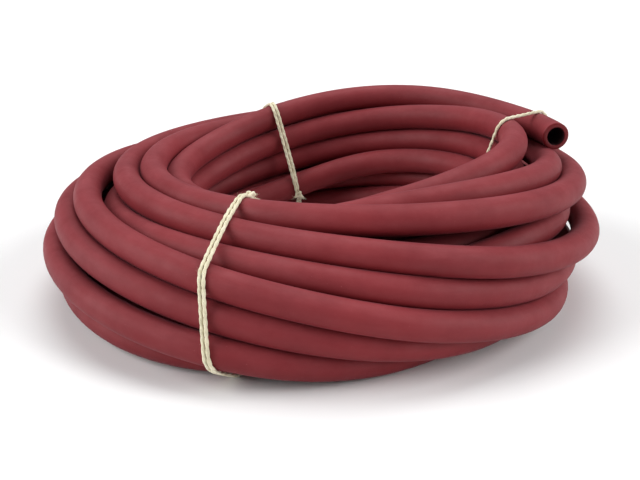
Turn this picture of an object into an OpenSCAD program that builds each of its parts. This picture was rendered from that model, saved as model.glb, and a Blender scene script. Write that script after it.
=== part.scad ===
// Coil of rubber gas tubing, tied in three places with cotton string.
// The origin is at the middle of the coil, on the surface that it lies on. Z is up and
// the free end of the tube points along -Y. The tube's turns are drawn as one solid with
// the coil's outer shape: stacked rings, one for each layer of turns, that lean along X.

/* [Tube] */
// Bore of the tube
bore_d = 8; // [6:0.5:10]
// Thickness of the rubber wall
wall = 2; // [1.5:0.25:3]

/* [Coil] */
// Outside diameter of a layer of turns, other than the top one
layer_d = 210; // [200:1:260]
// Outside diameter of the top layer of turns
top_d = 168; // [150:1:175]
// Height from one layer to the next, as a share of the tube's diameter
nesting = 0.95; // [0.9:0.01:0.97]
// How far the layers between the bottom and the top one lean along X
lean = 28; // [0:1:34]
// How far the bottom layer's middle is from the coil's middle, along X
bottom_shift = -12; // [-14:1:-4]
// How far the top layer's middle is from the coil's middle, along X
top_shift = 5; // [0:1:8]

/* [Ends] */
// Length of the straight stretch at the end that lies on top of the coil
free_straight = 24; // [15:1:30]
// Radius to which the tube is bent before that straight stretch
free_bend_r = 72; // [64:1:76]
// X position of the straight stretch at the free end
free_x = 102; // [100:0.5:105]
// Y position of the cut face at the free end
free_y = -2; // [-8:0.5:4]
// Length of the straight stretch at the end that is tucked under the coil
tail_straight = 24; // [15:1:30]
// Where that straight stretch begins, in degrees round the coil
tail_angle = 247; // [240:1:250]

/* [String] */
// Diameter of the cotton string
string_d = 1.8; // [1.4:0.1:2.4]
// Gap between the string and the tube
string_gap = 0.6; // [0.5:0.05:0.8]
// Direction of the front tie from the middle of the coil, in degrees
front_tie_angle = 246; // [240:1:255]
// Direction of the back tie
back_tie_angle = 105; // [95:1:125]
// Direction of the tie over the free end
side_tie_angle = 14; // [12:1:16]
// Number of strands side by side in the front and back ties
double_strands = 2; // [1:1:3]
// Number of strands in the tie over the free end
single_strands = 1; // [1:1:2]
// Diameter of a tie's knot
knot_d = 4.5; // [3.5:0.1:6]

/* [Hidden] */
$fn = 64;

tube_d = bore_d + 2*wall;
tube_r = tube_d/2;
pitch = nesting*tube_d;

// How many turns lie side by side in each layer, from the bottom layer up
TURNS_WIDE = [2, 3, 3, 3, 3, 2];
top = len(TURNS_WIDE) - 1;

// A layer's height, its shift along X and the radii of its outermost and innermost turns.
// Beside the bottom layer there is a place for the tucked end.
function layer_z(i) = tube_r + i*pitch;
function layer_x(i) =
    i == 0 ? bottom_shift : i == top ? top_shift : lean*((i - 1)/(top - 2) - 0.5);
function outer_turn_r(i) = i == top ? top_d/2 - tube_r : layer_d/2 - tube_r - (i == 0 ? tube_d : 0);
function inner_turn_r(i) = outer_turn_r(i) - (TURNS_WIDE[i] - 1)*tube_d;

// Where a circle of radius r, shifted by x, is met by a line from the origin at an angle
function reach(r, x, angle) = x*cos(angle) + sqrt(r*r - pow(x*sin(angle), 2));

// Each end is pressed this far into its layer's height, towards the middle of the coil
press = 0.5;

// The free end leaves the top layer on a bend of this many degrees
free_z = layer_z(top) - press;
free_sweep = 145;

// The tucked end leaves the bottom layer's outer turn and comes to lie beside it, at
// tail_r. Its bend has its middle this far off the layer's middle.
tail_z = layer_z(0) + press;
tail_r = layer_d/2 - tube_r - press;
tail_shift = 8;
tail_sweep = 150;

// Where the tucked end's and the free end's straight stretches cross a line at an angle
function tail_reach(angle) = (layer_x(0)*cos(tail_angle) + tail_r)/cos(angle - tail_angle);
function free_reach(angle) = free_x/cos(angle);

// A bore or groove reaches this far past the face that it opens in
eps = 1;
// A knot stands this much clear of the string's inner side
knot_lift = 0.2;

// Half of a turn's outline, on its outer side (1) or its inner side (-1)
function half_round(r, z, side) =
    [for (a = [-90:30:90]) [r, z] + side*tube_r*[cos(a), sin(a)]];

module layer_ring(i) {
    translate([layer_x(i), 0, 0])
        rotate_extrude()
            polygon(concat(
                half_round(outer_turn_r(i), layer_z(i), 1),
                half_round(inner_turn_r(i), layer_z(i), -1)));
}

// An end of the tube: a bend about the local Z axis, then a straight stretch along -Y
module end_run(bend_r, sweep, straight) {
    rotate_extrude(angle = sweep)
        translate([bend_r, 0]) circle(r = tube_r);
    translate([bend_r, 0, 0]) rotate([90, 0, 0]) cylinder(r = tube_r, h = straight);
}

module end_bore(bend_r, straight) {
    translate([bend_r, 0, 0]) rotate([90, 0, 0]) cylinder(d = bore_d, h = straight + eps);
}

module at_free() {
    translate([free_x - free_bend_r, free_y + free_straight, free_z]) children();
}

module at_tail() {
    translate([layer_x(0), 0, tail_z])
        rotate([0, 0, tail_angle]) translate([tail_shift, 0, 0]) mirror([0, 1, 0]) children();
}

// The bundle's outline where a tie goes round it, as seen along the tube, grown by a
// margin. An end of the tube that passes under the tie is given as [distance, height].
module bundle_outline(angle, margin, tube_end) {
    hull() {
        for (i = [0:top])
            for (r = [inner_turn_r(i), outer_turn_r(i)])
                translate([reach(r, layer_x(i), angle), layer_z(i)])
                    circle(r = tube_r + margin, $fn = 32);
        translate(tube_end) circle(r = tube_r + margin, $fn = 32);
    }
}

// The same outline, cut off level at a height above the floor
module outline_above(angle, margin, tube_end, floor_z) {
    intersection() {
        bundle_outline(angle, margin, tube_end);
        translate([0, floor_z]) square([layer_d, layer_d]);
    }
}

// Stands a flat outline up as a plate of a given width, across the tube at an angle
module across_tube(angle, width) {
    rotate([0, 0, angle]) rotate([90, 0, 0])
        translate([0, 0, -width/2]) linear_extrude(width) children();
}

// A tie: string round the bundle and under it, and a knot on top of its innermost turn
module tie(angle, strands, tube_end) {
    across_tube(angle, strands*string_d)
        difference() {
            outline_above(angle, string_gap + string_d, tube_end, 0);
            outline_above(angle, string_gap, tube_end, string_d);
        }
    rotate([0, 0, angle])
        translate([
            reach(inner_turn_r(top), layer_x(top), angle),
            0,
            layer_z(top) + tube_r + string_gap + knot_lift + knot_d/2
        ])
            sphere(d = knot_d);
}

// The groove that a tie presses into the underside of the turns that it passes below
module groove(angle, strands) {
    across_tube(angle, strands*string_d + 2*string_gap)
        translate([0, -eps]) square([layer_d, string_d + string_gap + eps]);
}

module tubing() {
    color("#963c46")
    difference() {
        union() {
            for (i = [0:top]) layer_ring(i);
            at_free() end_run(free_bend_r, free_sweep, free_straight);
            at_tail() end_run(tail_r - tail_shift, tail_sweep, tail_straight);
        }
        at_free() end_bore(free_bend_r, free_straight);
        at_tail() end_bore(tail_r - tail_shift, tail_straight);
        groove(front_tie_angle, double_strands);
        groove(back_tie_angle, double_strands);
        groove(side_tie_angle, single_strands);
    }
}

module front_tie() {
    color("#e6dcbe")
        tie(front_tie_angle, double_strands, [tail_reach(front_tie_angle), tail_z]);
}

module back_tie() {
    color("#e6dcbe")
        tie(back_tie_angle, double_strands, [reach(outer_turn_r(0), layer_x(0), back_tie_angle), tail_z]);
}

module side_tie() {
    color("#e6dcbe")
        tie(side_tie_angle, single_strands, [free_reach(side_tie_angle), free_z]);
}

tubing();
front_tie();
back_tie();
side_tie();
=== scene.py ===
"""Coil of rubber gas tubing held by three cotton string ties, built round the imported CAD
model. Lengths are in millimetres until a mesh is made, and in metres from there on."""
import math

import bpy
import numpy as np
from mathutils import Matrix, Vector


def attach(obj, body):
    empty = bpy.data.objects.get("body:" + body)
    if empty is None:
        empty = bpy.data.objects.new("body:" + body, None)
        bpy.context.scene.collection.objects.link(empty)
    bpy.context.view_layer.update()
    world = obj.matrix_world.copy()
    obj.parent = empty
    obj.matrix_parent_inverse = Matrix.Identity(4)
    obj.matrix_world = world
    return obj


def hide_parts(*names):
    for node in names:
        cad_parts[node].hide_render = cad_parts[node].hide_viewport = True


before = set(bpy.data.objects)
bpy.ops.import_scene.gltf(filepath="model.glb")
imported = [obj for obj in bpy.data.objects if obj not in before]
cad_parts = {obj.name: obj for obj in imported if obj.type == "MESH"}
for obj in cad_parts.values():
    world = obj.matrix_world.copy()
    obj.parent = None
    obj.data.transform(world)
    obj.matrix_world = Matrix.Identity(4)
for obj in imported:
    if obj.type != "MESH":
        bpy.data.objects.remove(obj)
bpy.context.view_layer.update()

MM = 0.001
CIRCLE = 2*np.pi  # a whole turn in radians
UP = np.array([0.0, 0.0, 1.0])
RNG = np.random.default_rng(12)

# ---- sizes and places -------------------------------------------------------------

TUBE_R, BORE_R = 6.0, 4.0
STRING_R = 0.8

# directions from the middle of the coil, in degrees
FIRST = 255.0  # cut end that is tucked under the coil
LAST = -1.0  # cut end that lies on top
FRONT_TIE, BACK_TIE, SIDE_TIE = 247.5, 105.0, 7.0
UNDER_TIES = 253.0, 100.0, 6.0  # where the ties pass under the coil

STEP = 3.0  # degrees from one station of the path to the next
PER_TURN = int(360/STEP)

# Where each turn lies at these directions round the coil, in the order in which the tube
# passes them, as (distance from the middle, height). A turn begins and ends at FIRST.
DIRECTIONS = [246, 220, 190, 150, 110, 60, 350, 325, 305, 290, 270]
LAY = [
    # from the tucked end
    [(102, 7), (110, 7), (111, 13), (105, 13), (99, 7), (84, 17),
     (76, 17), (73, 18), (71, 14), (71, 6), (69, 6)],
    # turns that are mostly inside the bundle
    [(68, 6), (78, 6), (88, 6), (83, 6), (75, 6), (72, 17),
     (73, 28), (71, 30), (66, 24), (62, 16), (57, 8)],
    [(56, 8), (66, 6), (76, 6), (71, 6), (75, 19), (74, 27),
     (85, 28), (83, 26), (82, 24), (76, 18), (62, 19)],
    [(63, 18), (66, 18), (70, 17), (64, 17), (63, 13), (77, 37),
     (82, 39), (78, 38), (72, 34), (70, 28), (73, 17)],
    [(75, 18), (78, 18), (82, 17), (76, 19), (71, 29), (79, 45),
     (86, 50), (80, 49), (74, 46), (64, 38), (58, 31)],
    [(61, 29), (65, 29), (75, 28), (78, 30), (81, 36), (91, 42),
     (93, 36), (92, 37), (88, 34), (82, 30), (76, 29)],
    [(78, 29), (87, 28), (99, 27), (97, 25), (98, 22), (98, 36),
     (105, 34), (103, 46), (98, 53), (87, 50), (84, 18)],
    [(87, 18), (90, 17), (94, 17), (91, 15), (88, 17), (92, 22),
     (92, 17), (86, 14), (85, 12), (84, 6), (84, 6)],
    # turns that show on the outside, from the lowest up
    [(90, 6), (98, 6), (99, 6), (94, 5), (87, 6), (80, 6),
     (76, 6), (86, 5), (90, 6), (93, 5), (97, 8)],
    [(107, 17), (111, 21), (116, 24), (116, 22), (110, 13), (92, 6),
     (88, 6), (98, 6), (98, 8), (104, 14), (100, 19)],
    [(103, 27), (106, 34), (111, 36), (113, 33), (113, 24), (103, 11),
     (100, 5), (112, 7), (110, 14), (108, 24), (96, 30)],
    [(97, 37), (99, 42), (103, 44), (105, 41), (105, 34), (108, 22),
     (107, 20), (107, 19), (108, 28), (102, 37), (88, 40)],
    [(86, 41), (88, 38), (92, 36), (91, 35), (92, 33), (110, 34),
     (117, 27), (110, 32), (106, 42), (96, 47), (77, 46)],
    # turns on top, the last of which becomes the free end
    [(75, 46), (79, 48), (84, 48), (93, 46), (98, 44), (106, 44),
     (111, 49), (105, 57), (96, 61), (84, 58), (65, 50)],
    [(64, 47), (68, 50), (73, 50), (82, 48), (87, 47), (97, 55),
     (102, 59), (97, 65), (86, 65), (73, 60), (55, 50)],
    [(64, 36), (66, 34), (68, 33), (68, 33), (72, 42), (81, 56),
     (85, 66), (82, 66), (74, 60), (64, 50), (54, 40)],
    [(53, 38), (58, 40), (66, 42), (74, 42), (76, 55), (87, 66),
     (103, 62), (103, 62), (103, 62), (103, 62), (103, 62)],
]
TURNS = len(LAY)

# ---- how the turns settle ---------------------------------------------------------

ROUNDS, LATE_ROUNDS = 900, 160
TURN_GAP = 12.12  # from the middle of a turn to the middle of one that it touches

# How strongly a station is drawn to its place in the table, in each round: along the path,
# at the tucked end and at the free end, and the share of that in the late rounds
PULL, TUCKED_PULL, FREE_PULL = 0.06, 0.3, 0.5
LATE_SHARE = 0.2
TUCKED_STATIONS, FREE_STATIONS = 12, 36

# Bends are evened with the stations so far to each side, by such a share
EVENING = (1, 0.045), (2, 0.045), (4, 0.035), (8, 0.012)

# Pushes in a round, and the share of an overlap that each of two turns gives way
PUSHES, LATE_PUSHES, GIVE = 4, 9, 0.42

# A string lifts the turns above it this much, for about so many degrees to each side
STRING_LIFT, LIFT_SPREAD = 2*STRING_R + 0.25, 9

# How often the settled path is smoothed
PATH_SMOOTHING = 3


def smooth_table(x, y, q):
    """Values at q of a smooth curve through the points x, y that doesn't overshoot."""
    h, d = np.diff(x), np.diff(y)/np.diff(x)
    slope = np.zeros_like(y)
    same = d[:-1]*d[1:] > 0
    w1, w2 = 2*h[1:] + h[:-1], h[1:] + 2*h[:-1]
    with np.errstate(divide="ignore", invalid="ignore"):
        mean = (w1 + w2)/(w1/d[:-1] + w2/d[1:])
    slope[1:-1] = np.where(same, mean, 0)
    i = np.clip(np.searchsorted(x, q, side="right") - 1, 0, len(x) - 2)
    t = np.clip((q - x[i])/h[i], 0, 1)
    return ((1 + 2*t)*(1 - t)**2*y[i] + t*(1 - t)**2*h[i]*slope[i]
            + t*t*(3 - 2*t)*y[i + 1] + t*t*(t - 1)*h[i]*slope[i + 1])


def wanted_lay():
    """Angle travelled, distance and height for each station, from the table."""
    angle, r, z = [], [], []
    for turn, row in enumerate(LAY):
        for direction, (distance, height) in zip(DIRECTIONS, row):
            angle.append(turn*360 + (FIRST - direction) % 360)
            r.append(distance)
            z.append(height)
    angle, r, z = (np.array(v, float) for v in (angle, r, z))
    total = (TURNS - 1)*360 + (FIRST - LAST) % 360
    a = np.arange(0, int(total/STEP) + 1)*STEP
    return a, smooth_table(angle, r, a), smooth_table(angle, z, a)


def lowest(a):
    """How low the tube's middle may lie at each station: on the floor or on a string."""
    low = np.full(len(a), TUBE_R)
    for under in UNDER_TIES:
        off = np.abs((FIRST - a - under + 180) % 360 - 180)
        low += STRING_LIFT*np.exp(-(off/LIFT_SPREAD)**4)
    return low


def even_bends(v):
    """Evens the bends of one coordinate of the path, in place."""
    for reach, share in EVENING:
        bend = v[2*reach:] - 2*v[reach:-reach] + v[:-2*reach]
        move = np.zeros_like(v)
        move[reach:-reach] -= 2*bend
        move[2*reach:] += bend
        move[:-2*reach] += bend
        v -= share*move


def push_apart(r, z, one, two, pair, low):
    """Pushes the turns, which are rows of r and z, off each other and up, in place."""
    dr, dz = r[one] - r[two], z[one] - z[two]
    d = np.hypot(dr, dz) + 1e-9
    share = np.where(pair & (d < TURN_GAP), GIVE*(TURN_GAP - d)/d, 0)
    for v, dv in ((r, dr), (z, dz)):
        np.add.at(v, one, share*dv)
        np.add.at(v, two, -share*dv)
    heights = z.reshape(-1)
    heights[:len(low)] = np.maximum(heights[:len(low)], low)


def settle():
    """Lets the turns push each other a tube's width apart, keep their bends even and rest
    on the floor, while each is drawn towards its place in the table."""
    a, want_r, want_z = wanted_lay()
    count, places = len(a), TURNS*PER_TURN
    r, z = want_r.copy(), want_z.copy()
    there = (np.arange(places) < count).reshape(TURNS, PER_TURN)
    one, two = np.triu_indices(TURNS, 1)
    pair = there[one] & there[two]
    low = lowest(a)
    weight = np.full(count, PULL)
    weight[count - FREE_STATIONS:] = np.linspace(PULL, FREE_PULL, FREE_STATIONS)
    weight[:TUCKED_STATIONS] = TUCKED_PULL
    for number in range(ROUNDS):
        late = number > ROUNDS - LATE_ROUNDS
        drawn = weight*(LATE_SHARE if late else 1)
        for v, want in ((r, want_r), (z, want_z)):
            even_bends(v)
            v += drawn*(want - v)
        turns_r, turns_z = (np.pad(v, (0, places - count)).reshape(TURNS, PER_TURN) for v in (r, z))
        for _ in range(LATE_PUSHES if late else PUSHES):
            push_apart(turns_r, turns_z, one, two, pair, low)
        r, z = (v.reshape(-1)[:count].copy() for v in (turns_r, turns_z))
    return a, r, z


def evened(v, times):
    """Values smoothed so many times; the first and last stay."""
    v = v.copy()
    for _ in range(times):
        v[1:-1] = 0.25*v[:-2] + 0.5*v[1:-1] + 0.25*v[2:]
    return v


def round_the_coil(az, r, z):
    """Points at directions, distances and heights round the coil."""
    t = np.radians(az)
    return np.stack([r*np.cos(t), r*np.sin(t), z], axis=-1)


# ---- lines and meshes -------------------------------------------------------------


def unit(v):
    """Vectors made one long."""
    return v/np.maximum(np.linalg.norm(v, axis=-1, keepdims=True), 1e-12)


def travelled(line):
    """How far along a line each of its points is."""
    return np.r_[0, np.cumsum(np.linalg.norm(np.diff(line, axis=0), axis=1))]


def spaced(line, gap):
    """The same line with points about a gap apart, and how far along each is."""
    s = travelled(line)
    q = np.linspace(0, s[-1], max(2, int(round(s[-1]/gap)) + 1))
    return np.stack([np.interp(q, s, line[:, i]) for i in range(3)], axis=1), q


def across(line, up):
    """Two directions square to the line at each point."""
    along = unit(np.gradient(line, axis=0))
    side = unit(np.cross(along, up))
    return side, np.cross(side, along)


def rings(line, radius, sides, up):
    """Points on circles round the line, as an array of ring, side, axis."""
    side, top = across(line, up)
    a = np.linspace(0, CIRCLE, sides, endpoint=False)[None, :]
    radius = np.broadcast_to(np.asarray(radius, float), (len(line),))[:, None, None]
    return line[:, None, :] + radius*(np.cos(a)[..., None]*side[:, None, :]
                                      + np.sin(a)[..., None]*top[:, None, :])


class Mesh:
    """Collects rings of points as tubes, and makes one object of them."""

    def __init__(self):
        self.points, self.faces, self.uv, self.count = [], [], [], 0

    def tube(self, ring, u, close_ends=True, flip=False):
        """Adds faces between rings. U is how far along each ring is, and flip winds the
        faces the other way round."""
        n, s = ring.shape[:2]
        base = self.count
        self.points.append(ring.reshape(-1, 3))
        self.count += n*s
        i, j = np.meshgrid(np.arange(n - 1), np.arange(s), indexing="ij")
        k = (j + 1) % s
        quads = np.stack([base + i*s + j, base + i*s + k, base + (i + 1)*s + k,
                          base + (i + 1)*s + j], axis=-1).reshape(-1, 4)
        uv = np.stack([np.stack([u[i], j/s], -1), np.stack([u[i], (j + 1)/s], -1),
                       np.stack([u[i + 1], (j + 1)/s], -1), np.stack([u[i + 1], j/s], -1)],
                      axis=-2).reshape(-1, 4, 2)
        if flip:
            quads, uv = quads[:, ::-1], uv[:, ::-1]
        self.faces += quads.tolist()
        self.uv += uv.tolist()
        if close_ends:
            first = list(range(base, base + s))
            last = list(range(base + (n - 1)*s, base + n*s))
            for loop, x in ((first[::-1], u[0]), (last, u[-1])):
                self.faces.append(loop)
                self.uv.append([[x, 0.0]]*s)

    def make(self, name, material):
        """Makes the object, in metres."""
        mesh = bpy.data.meshes.new(name)
        mesh.from_pydata((np.concatenate(self.points)*MM).tolist(), [], self.faces)
        layer = mesh.uv_layers.new(name="along_and_round")
        layer.data.foreach_set("uv", np.array([corner for face in self.uv for corner in face]).ravel())
        mesh.polygons.foreach_set("use_smooth", [True]*len(mesh.polygons))
        mesh.materials.append(material)
        mesh.validate()
        mesh.update()
        return placed(name, mesh)


def placed(name, data):
    """An object of the scene."""
    obj = bpy.data.objects.new(name, data)
    bpy.context.scene.collection.objects.link(obj)
    return obj


# ---- materials --------------------------------------------------------------------

BLACK, WHITE = (0, 0, 0), (1, 1, 1)
DEEP_RED, RED = (0.140, 0.0085, 0.0120), (0.195, 0.0140, 0.0180)
# The first colour on the next line is a dusty bloom that also serves as a painted highlight on faces
# turned up
HIGHLIGHT_AND_BLOOM, SPECK = (0.42, 0.100, 0.114), (0.44, 0.14, 0.15)
# The bore is the same red rubber, painted near black as shade inside the tube
BORE_SHADE_COLOUR = (0.030, 0.004, 0.006, 1)
SHEEN_TINT = (0.80, 0.62, 0.78, 1)
COTTON_SHADES = (0.25, (0.55, 0.48, 0.31)), (0.5, (0.76, 0.70, 0.50)), (0.8, (0.88, 0.83, 0.65))
FLOOR_COLOUR = (0.90, 0.90, 0.90, 1)


def grey(value):
    """A grey of one value."""
    return (value,)*3


class Nodes:
    """A material's node tree, with short calls to add nodes and links."""

    def __init__(self, name):
        self.material = bpy.data.materials.new(name)
        self.material.use_nodes = True
        self.tree = self.material.node_tree
        self.shader = self.tree.nodes["Principled BSDF"]

    def add(self, kind, **values):
        """A node with its settings and inputs."""
        node = self.tree.nodes.new(kind)
        for key, value in values.items():
            if hasattr(node, key):
                setattr(node, key, value)
            else:
                node.inputs[key.replace("_", " ")].default_value = value
        return node

    def link(self, out, into):
        self.tree.links.new(out, into)

    def set_shader(self, **values):
        """Sets inputs of the shader to constants."""
        for key, value in values.items():
            self.shader.inputs[key.replace("_", " ")].default_value = value

    def noise(self, vector, scale, detail=3.0, roughness=0.55):
        node = self.add("ShaderNodeTexNoise", Scale=scale, Detail=detail, Roughness=roughness)
        self.link(vector, node.inputs["Vector"])
        return node.outputs["Fac"]

    def ramp(self, value, stops):
        """A colour for a value, from two or more (position, colour) stops."""
        node = self.add("ShaderNodeValToRGB")
        ramp = node.color_ramp
        while len(ramp.elements) < len(stops):
            ramp.elements.new(0.5)
        for element, (at, colour) in zip(ramp.elements, stops):
            element.position = at
            element.color = (*colour, 1)
        self.link(value, node.inputs["Fac"])
        return node.outputs["Color"]

    def blend(self, factor, under, colour):
        """A plain colour laid over another one by a factor."""
        node = self.add("ShaderNodeMix", data_type="RGBA", blend_type="MIX")
        factor_socket, under_socket, colour_socket = (node.inputs[i] for i in (0, 6, 7))
        self.link(factor, factor_socket)
        self.link(under, under_socket)
        colour_socket.default_value = (*colour, 1)
        return node.outputs[2]

    def math(self, operation, *values):
        """Arithmetic on links and numbers."""
        node = self.add("ShaderNodeMath", operation=operation)
        for socket, value in zip(node.inputs, values):
            if isinstance(value, bpy.types.NodeSocket):
                self.link(value, socket)
            else:
                socket.default_value = value
        return node.outputs[0]

    def bump(self, height, strength, distance, under=None):
        node = self.add("ShaderNodeBump", Strength=strength, Distance=distance)
        self.link(height, node.inputs["Height"])
        if under is not None:
            self.link(under, node.inputs["Normal"])
        return node.outputs["Normal"]


def upward(n):
    """1 where a surface faces up, falling to a little where it faces down: the mask of the dust and of
    the painted highlight.
    """
    split = n.add("ShaderNodeSeparateXYZ")
    n.link(n.add("ShaderNodeNewGeometry").outputs["Normal"], split.inputs[0])
    facing = n.add("ShaderNodeMapRange", clamp=True, From_Min=-0.5, From_Max=1.0,
                   To_Min=0.10, To_Max=1.0)
    n.link(split.outputs["Z"], facing.inputs["Value"])
    return facing.outputs["Result"]


def bloomed_and_highlit(n, here, base, cloud):
    """The rubber's colour with a dusty bloom in clouds and streaks, laid on most where faces turn up,
    so that it is also a painted highlight on the tops, and rare specks.
    """
    uv = n.add("ShaderNodeUVMap", uv_map="along_and_round").outputs["UV"]
    along = n.add("ShaderNodeMapping", Scale=(0.06, 9.0, 1.0))
    n.link(uv, along.inputs["Vector"])
    streaks = n.noise(along.outputs["Vector"], 1.0, 5, 0.65)
    dust_and_highlight = n.math("MULTIPLY", n.math("MULTIPLY_ADD", cloud, 0.9, 0.05), upward(n))
    dust_and_highlight = n.math("MULTIPLY", dust_and_highlight, n.math("MULTIPLY_ADD", streaks, 0.9, 0.25))
    # the bloom colour laid on here is partly dust and partly a painted highlight where faces turn up
    base = n.blend(n.math("MULTIPLY", dust_and_highlight, 0.62), base, HIGHLIGHT_AND_BLOOM)
    cells = n.add("ShaderNodeTexVoronoi", feature="F1", Scale=420.0)
    n.link(here, cells.inputs["Vector"])
    spot = n.ramp(cells.outputs["Distance"], [(0.0, WHITE), (0.085, BLACK)])
    rare = n.ramp(n.noise(here, 90, 2), [(0.56, BLACK), (0.66, WHITE)])
    return n.blend(n.math("MULTIPLY", n.math("MULTIPLY", spot, rare), 0.6), base, SPECK)


def rubber(name, bloom_and_highlight):
    """Soft red-brown rubber with a dusty bloom and a painted highlight on its upward faces; a fresh
    cut has neither.
    """
    n = Nodes(name)
    here = n.add("ShaderNodeTexCoord").outputs["Object"]
    base = n.ramp(n.noise(here, 26, 4, 0.6), [(0.3, DEEP_RED), (0.7, RED)])
    if bloom_and_highlight:
        cloud = n.noise(here, 70, 5, 0.62)
        base = bloomed_and_highlit(n, here, base, cloud)
        rough = n.ramp(cloud, [(0.3, grey(0.66)), (0.75, grey(0.54))])
    else:
        rough = n.ramp(n.noise(here, 300, 3), [(0.3, grey(0.30)), (0.75, grey(0.48))])
    n.link(base, n.shader.inputs["Base Color"])
    n.link(rough, n.shader.inputs["Roughness"])
    n.set_shader(Specular_IOR_Level=0.22, Sheen_Weight=0.04 if bloom_and_highlight else 0.0,
                 Sheen_Roughness=0.45, Sheen_Tint=SHEEN_TINT)
    grain = n.bump(n.noise(here, 1500, 4, 0.6), 0.18, 0.0003)
    n.link(n.bump(n.noise(here, 160, 3, 0.5), 0.14, 0.0012, grain), n.shader.inputs["Normal"])
    return n.material


def cotton():
    """Undyed cotton string."""
    n = Nodes("cotton_string")
    here = n.add("ShaderNodeTexCoord").outputs["Object"]
    n.link(n.ramp(n.noise(here, 220, 4, 0.6), COTTON_SHADES), n.shader.inputs["Base Color"])
    n.set_shader(Roughness=0.92, Specular_IOR_Level=0.2, Sheen_Weight=0.3, Sheen_Roughness=0.6)
    n.link(n.bump(n.noise(here, 2600, 3, 0.6), 0.5, 0.0004), n.shader.inputs["Normal"])
    return n.material


def plain(name, colour, roughness):
    """One colour all over."""
    n = Nodes(name)
    n.set_shader(Base_Color=colour, Roughness=roughness)
    return n.material


RUBBER = rubber("red_rubber", bloom_and_highlight=True)
CUT_RUBBER = rubber("cut_rubber", bloom_and_highlight=False)
# the bore's near-black colour is painted shade
BORE_SHADED_RUBBER = plain("bore_painted_shade", BORE_SHADE_COLOUR, 0.7)
COTTON = cotton()

# ---- camera, light and floor ------------------------------------------------------

FILM_WIDTH, LENS = 36.0, 53.83125
CAMERA_PLACE = (0.0, -0.4069, 0.1801)  # metres
LOOKS_DOWN = 21.9  # degrees
NEAREST, FARTHEST = 0.02, 20  # metres that the camera sees
SKY_COLOUR, SKY_STRENGTH = (0.95, 0.97, 1.0, 1), 0.17
FLOOR_REACH = 40  # metres to each side


def put_camera():
    """The camera, as in the photo."""
    camera = placed("camera", bpy.data.cameras.new("camera"))
    camera.data.sensor_width = FILM_WIDTH
    camera.data.lens = LENS
    camera.location = CAMERA_PLACE
    camera.rotation_euler = (math.radians(90 - LOOKS_DOWN), 0, 0)
    camera.data.clip_start, camera.data.clip_end = NEAREST, FARTHEST
    bpy.context.scene.camera = camera
    bpy.context.scene.view_settings.view_transform = "Standard"


def sun_light(name, come_from, power, spread):
    """A far-off light, spread over so many degrees of the sky."""
    light = bpy.data.lights.new(name, "SUN")
    light.energy, light.angle = power, math.radians(spread)
    obj = placed(name, light)
    obj.rotation_euler = Vector(come_from).to_track_quat("Z", "Y").to_euler()


def sky():
    """A faint even light from all round."""
    world = bpy.data.worlds.new("studio")
    world.use_nodes = True
    inputs = world.node_tree.nodes["Background"].inputs
    inputs["Color"].default_value = SKY_COLOUR
    inputs["Strength"].default_value = SKY_STRENGTH
    bpy.context.scene.world = world


def pale_floor():
    """The white surface that the coil lies on."""
    corners = [(x*FLOOR_REACH, y*FLOOR_REACH, 0) for x, y in ((-1, -1), (1, -1), (1, 1), (-1, 1))]
    mesh = bpy.data.meshes.new("floor")
    mesh.from_pydata(corners, [], [(0, 1, 2, 3)])
    mesh.materials.append(plain("pale_floor", FLOOR_COLOUR, 0.85))
    return placed("floor", mesh)


put_camera()
sun_light("overhead_light", (0.0, 0.42, 1.0), 1.55, 45)
sun_light("left_light", (-0.95, -0.17, 0.52), 2.6, 45)
sun_light("right_light", (0.95, -0.17, 0.52), 2.3, 45)
sky()
pale_floor()

# ---- the tubing -------------------------------------------------------------------

OUTSIDE_SIDES, BORE_SIDES = 28, 14
RING_GAP = 4.9
CHAMFER = 0.35

# The cut face from its outer edge to the bore, as (radius, how far back from the cut)
CUT_PROFILE = [
    (TUBE_R, CHAMFER), (TUBE_R - 0.12, 0.12), (TUBE_R - CHAMFER, 0.0),
    (BORE_R + 0.25, 0.0), (BORE_R + 0.08, 0.08), (BORE_R, 0.3),
]


def tubing(line, s):
    """The tube, outside and bore, from cut end to cut end."""
    m = Mesh()
    outside = rings(line, TUBE_R, OUTSIDE_SIDES, UP)
    # the outside stops short of the cut faces, whose outer edges are rounded
    along = unit(np.gradient(line, axis=0))
    outside[0] += CHAMFER*along[0]
    outside[-1] -= CHAMFER*along[-1]
    m.tube(outside, s, close_ends=False)
    m.tube(rings(line, BORE_R, BORE_SIDES, UP), s, close_ends=False, flip=True)
    tube = m.make("gas_tubing", RUBBER)
    # the bore gets the near-black painted shade
    tube.data.materials.append(BORE_SHADED_RUBBER)
    outside_faces = (len(line) - 1)*OUTSIDE_SIDES
    in_bore = np.arange(len(tube.data.polygons)) >= outside_faces
    tube.data.polygons.foreach_set("material_index", in_bore.astype(int))
    return tube


def cut_faces(line, s):
    """The ring-shaped cut face at each end, with its edges a little rounded."""
    m = Mesh()
    along = unit(np.gradient(line, axis=0))
    for end, sign in ((0, -1), (-1, 1)):
        circles = [rings(line, radius, OUTSIDE_SIDES, UP)[end] - sign*back*along[end]
                   for radius, back in CUT_PROFILE]
        m.tube(np.array(circles), np.full(len(circles), s[end]), close_ends=False, flip=(end == 0))
    return m.make("cut_ends", CUT_RUBBER)


angle, lay_r, lay_z = settle()
lay_r, lay_z = evened(lay_r, PATH_SMOOTHING), evened(lay_z, PATH_SMOOTHING)
route = round_the_coil(FIRST - angle, lay_r, lay_z)
tube_line, tube_s = spaced(route, RING_GAP)
tube = tubing(tube_line, tube_s)
cut_ends = cut_faces(tube_line, tube_s)

# ---- where a tie runs -------------------------------------------------------------

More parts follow.
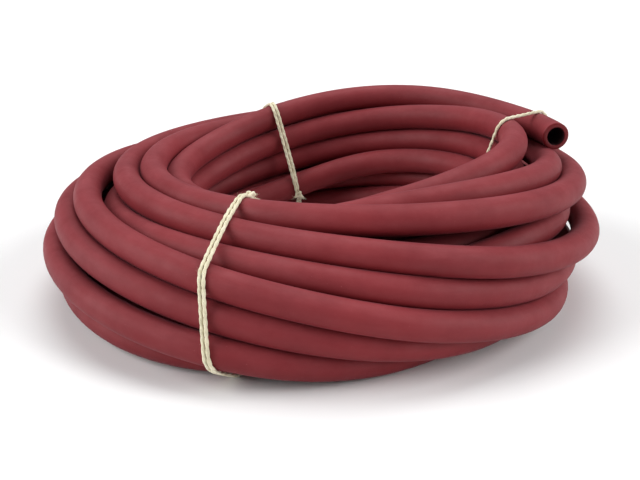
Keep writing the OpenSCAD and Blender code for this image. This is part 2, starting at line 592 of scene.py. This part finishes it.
# A leaning or skewed tie is at its own direction at this height and distance
LEAN_MIDDLE, SKEW_MIDDLE = 38.0, 90.0
OUTLINE_SIDES = 60  # on the circle round each turn
TIE_POINTS = 144  # round the bundle
STRING_STEP = 0.45
STRAND_GAP = 2*STRING_R + 0.02

# How near a string's middle may come to the tube's and to the floor, at first and taut
OUTLINE_R, OUTLINE_LOW = TUBE_R + STRING_R + 0.12, STRING_R + 0.06
TOUCHING, STRING_LOW = TUBE_R + STRING_R + 0.05, STRING_R + 0.05

TUBE_POINT_GAP = 1.5
NEARBY = 12  # the tube is looked for this far round a string's own box
TIGHTENINGS = 14

# The share of the string's length at which it changes over to its second loop, and over
# how much of it
CHANGE_AT, CHANGE_OVER = 0.46, 0.08

# String laid by hand strays this far to each side, in a slow and a quick wave
SLOW_STRAY, QUICK_STRAY = 0.3, 0.12


def crossings(az):
    """Distance and height of each turn where it passes a direction from the middle."""
    k = np.arange(TURNS)*PER_TURN + ((FIRST - az) % 360)/STEP
    k = k[k <= len(lay_r) - 1]
    i = np.arange(len(lay_r))
    return np.interp(k, i, lay_r), np.interp(k, i, lay_z)


def hull(points):
    """Convex hull of points in a plane, counter-clockwise."""
    ordered = sorted(map(tuple, points))

    def half(sequence):
        out = []
        for p in sequence:
            while len(out) > 1 and ((out[-1][0] - out[-2][0])*(p[1] - out[-2][1])
                                    - (out[-1][1] - out[-2][1])*(p[0] - out[-2][0])) <= 0:
                out.pop()
            out.append(p)
        return out[:-1]
    return np.array(half(ordered) + half(ordered[::-1]))


def outline_at(az):
    """The bundle's outline a string's radius off the tube, across it at a direction."""
    r, z = crossings(az)
    a = np.linspace(0, CIRCLE, OUTLINE_SIDES, endpoint=False)
    ring = np.stack([np.cos(a), np.sin(a)], axis=1)*OUTLINE_R
    outline = hull(np.concatenate([ring + (x, y) for x, y in zip(r, z)]))
    outline[:, 1] = np.maximum(outline[:, 1], OUTLINE_LOW)
    return outline


def seen_from(middle, outline, direction):
    """Where a ray from the middle meets a closed outline."""
    d = outline - middle
    angles = np.unwrap(np.arctan2(d[:, 1], d[:, 0]))
    q = angles[0] + (direction - angles[0]) % CIRCLE
    i = np.searchsorted(angles, q, side="right") - 1
    a, b = d[i], d[(i + 1) % len(d)]
    ray = np.array([math.cos(q), math.sin(q)])
    edge = b - a
    cross = ray[0]*edge[1] - ray[1]*edge[0]
    return middle + ray*(a[0]*edge[1] - a[1]*edge[0])/cross


def clear_of_tube(points):
    """Draws a string taut, and moves it out of the tube and off the floor."""
    tube_points = spaced(route, TUBE_POINT_GAP)[0]
    low, high = points.min(axis=0) - NEARBY, points.max(axis=0) + NEARBY
    tube_points = tube_points[np.all((tube_points > low) & (tube_points < high), axis=1)]
    row = np.arange(len(points))
    for _ in range(TIGHTENINGS):
        points = np.stack([evened(v, 2) for v in points.T], axis=1)
        for _ in range(2):
            off = points[:, None, :] - tube_points[None, :, :]
            far = np.linalg.norm(off, axis=2)
            k = far.argmin(axis=1)
            nearest = far[row, k]
            push = np.maximum(TOUCHING - nearest, 0)/nearest
            points = points + push[:, None]*off[row, k]
            points[:, 2] = np.maximum(points[:, 2], STRING_LOW)
    return points


def loop_round(az, start, lean, skew):
    """One loop round the bundle, as (distance, height, how far aside)."""
    outline = outline_at(az)
    middle = 0.5*(outline.min(axis=0) + outline.max(axis=0))
    points = []
    for direction in np.radians(start) + np.linspace(0, CIRCLE, TIE_POINTS, endpoint=False):
        r, z = seen_from(middle, outline, direction)
        aside = lean*(LEAN_MIDDLE - z) + skew*(r - SKEW_MIDDLE)
        there = az + math.degrees(math.atan2(aside, r))
        r, z = seen_from(middle, outline_at(there), direction)
        points.append((math.sqrt(max(r**2 - aside**2, 1.0)), z, aside))
    return points


def tie_line(az, loops, start, lean, skew):
    """The string's route: so many times round the bundle from a place on its inner top,
    its loops side by side. It leans by so much of its height, and is skewed by so much
    of its distance."""
    base = np.radians(az)
    out = np.array([math.cos(base), math.sin(base)])
    side = np.array([-math.sin(base), math.cos(base)])
    points = loop_round(az, start, lean, skew)
    flat, s = spaced(np.array(points*loops + points[:1]), STRING_STEP)
    t = s/s[-1]
    aside = flat[:, 2].copy()
    if loops == 2:
        change = np.clip((t - CHANGE_AT)/CHANGE_OVER, 0, 1)
        aside += STRAND_GAP*(change*change*(3 - 2*change) - 0.5)
    aside += SLOW_STRAY*np.sin(CIRCLE*(t*loops + 0.1)) + QUICK_STRAY*np.sin(CIRCLE*t*loops*3 + 1)
    xy = flat[:, :1]*out + aside[:, None]*side
    return clear_of_tube(np.column_stack([xy, flat[:, 1]])), np.array([*side, 0.0])


# ---- string -----------------------------------------------------------------------

PLY_PITCH, PLY_SIDES = 7.0, 8
PLY_R, PLY_OFF = 0.72*STRING_R, 0.27*STRING_R
# a fibre stands on every fifth point of the string's line, or strays up to three from it
FUZZ_EVERY, FUZZ_STRAY = 5, 3
FUZZ_R, FRAY_R = 0.028, 0.04
FRAYED_FIBRES = 16
KNOT_SIZE = 0.46  # the knot's loops reach three times this from its middle
KNOT_STRING_R = STRING_R*0.86
KNOT_LIFT, END_LIFT = 1.2, 1.4  # from the string's line to the knot, and to its cut ends


def twisted(m, line, up):
    """Two plies of string twisted round each other along a line."""
    s = travelled(line)
    side, top = across(line, up)
    turn = CIRCLE*s/PLY_PITCH
    for phase in (0.0, np.pi):
        wobble = 1 + 0.04*np.sin(s*1.7 + phase) + 0.02*np.sin(s*4.3 + 2*phase)
        off = np.cos(turn + phase)[:, None]*side + np.sin(turn + phase)[:, None]*top
        m.tube(rings(line + PLY_OFF*off, PLY_R*wobble, PLY_SIDES, up), s)


def hair(m, root, direction, long, radius):
    """One loose fibre that curls away from its root."""
    direction = unit(np.asarray(direction, float))
    bend = unit(RNG.normal(size=3))*RNG.uniform(0.3, 0.9)
    t = np.linspace(0, 1, 6)[:, None]
    line = root + long*(t*direction + t*t*bend*0.5)
    line[:, 2] = np.maximum(line[:, 2], 0.1)
    up = np.cross(direction, bend) + 1e-3
    m.tube(rings(line, radius*(1.05 - 0.8*t[:, 0]), 3, unit(up)), t[:, 0])


def fuzz(m, line, up):
    """Short fibres standing off the string."""
    side, top = across(line, up)
    margin = FUZZ_STRAY + 1
    for i in np.arange(margin, len(line) - margin, FUZZ_EVERY):
        i = int(i + RNG.integers(-FUZZ_STRAY, FUZZ_STRAY + 1))
        a = RNG.uniform(0, CIRCLE)
        out = math.cos(a)*side[i] + math.sin(a)*top[i]
        onward = unit(line[i + 1] - line[i - 1])
        direction = out + onward*RNG.uniform(-1, 1)
        hair(m, line[i] + 0.75*STRING_R*out, direction, RNG.uniform(0.5, 1.5), FUZZ_R)


def knot(m, place, out):
    """An overhand knot, from a trefoil drawn tight."""
    t = np.linspace(0, CIRCLE, 90)
    trefoil = [np.sin(t) + 2*np.sin(2*t), np.cos(t) - 2*np.cos(2*t), -np.sin(3*t)*1.2]
    curve = np.stack(trefoil, axis=1)*KNOT_SIZE
    a = unit(np.cross(out, (0.3, 0.2, 0.9)))
    b = np.cross(out, a)
    line = place + curve[:, :1]*a + curve[:, 1:2]*b + curve[:, 2:]*out
    m.tube(rings(line, KNOT_STRING_R, 8, out), t)


def frayed_end(m, root, direction, long):
    """A short cut end of string whose tip has come apart."""
    direction = unit(np.asarray(direction, float))
    t = np.linspace(0, 1, 14)[:, None]
    line = root + long*0.55*t*direction
    line[:, 2] = np.maximum(line[:, 2], STRING_R)
    twisted(m, line, unit(np.cross(direction, (0.31, 0.52, 0.8))))
    for _ in range(FRAYED_FIBRES):
        spread = direction + RNG.normal(size=3)*0.5
        hair(m, line[-1] + RNG.normal(size=3)*0.3, spread, RNG.uniform(0.3, 0.8)*long*0.6, FRAY_R)


def tie(name, az, line, up, ends):
    """A tie's string and its knot. Each end is (direction, length) from the knot."""
    m = Mesh()
    twisted(m, line, up)
    fuzz(m, line, up)
    string = m.make(name + "_string", COTTON)
    k = Mesh()
    place = 0.5*(line[0] + line[-1])
    r, z = crossings(az)
    out = unit(place - round_the_coil(np.array(az), r.mean(), z.mean()))
    knot(k, place + out*KNOT_LIFT, out)
    for direction, long in ends:
        frayed_end(k, place + out*END_LIFT, direction, long)
    return string, k.make(name + "_knot", COTTON)


# ---- ties, cords and the end ------------------------------------------------------

# node, direction, loops, where the knot is seen from the bundle's middle, lean, skew, and
# the string's cut ends
TIES = (
    ("front_tie", FRONT_TIE, 2, 125, 0.22, 0.0,
     [((0.7, 0.35, -0.3), 3.5), ((-0.4, 0.6, -0.2), 3.0)]),
    ("back_tie", BACK_TIE, 2, 200, -0.2, 0.0,
     [((0.8, -0.3, -0.5), 4.5), ((-0.8, -0.2, -0.4), 4.5)]),
    ("side_tie", SIDE_TIE, 1, 230, 0.0, 0.6,
     [((-0.6, -0.3, -0.7), 3.5)]),
)

for node, az, loops, start, lean, skew, ends in TIES:
    path, up = tie_line(az, loops, start, lean, skew)
    string, knotted = tie(node, az, path, up, ends)
    for obj in (string, knotted):
        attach(obj, "root")
    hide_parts(node)

for obj in (tube, cut_ends):
    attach(obj, "root")
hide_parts("tubing")
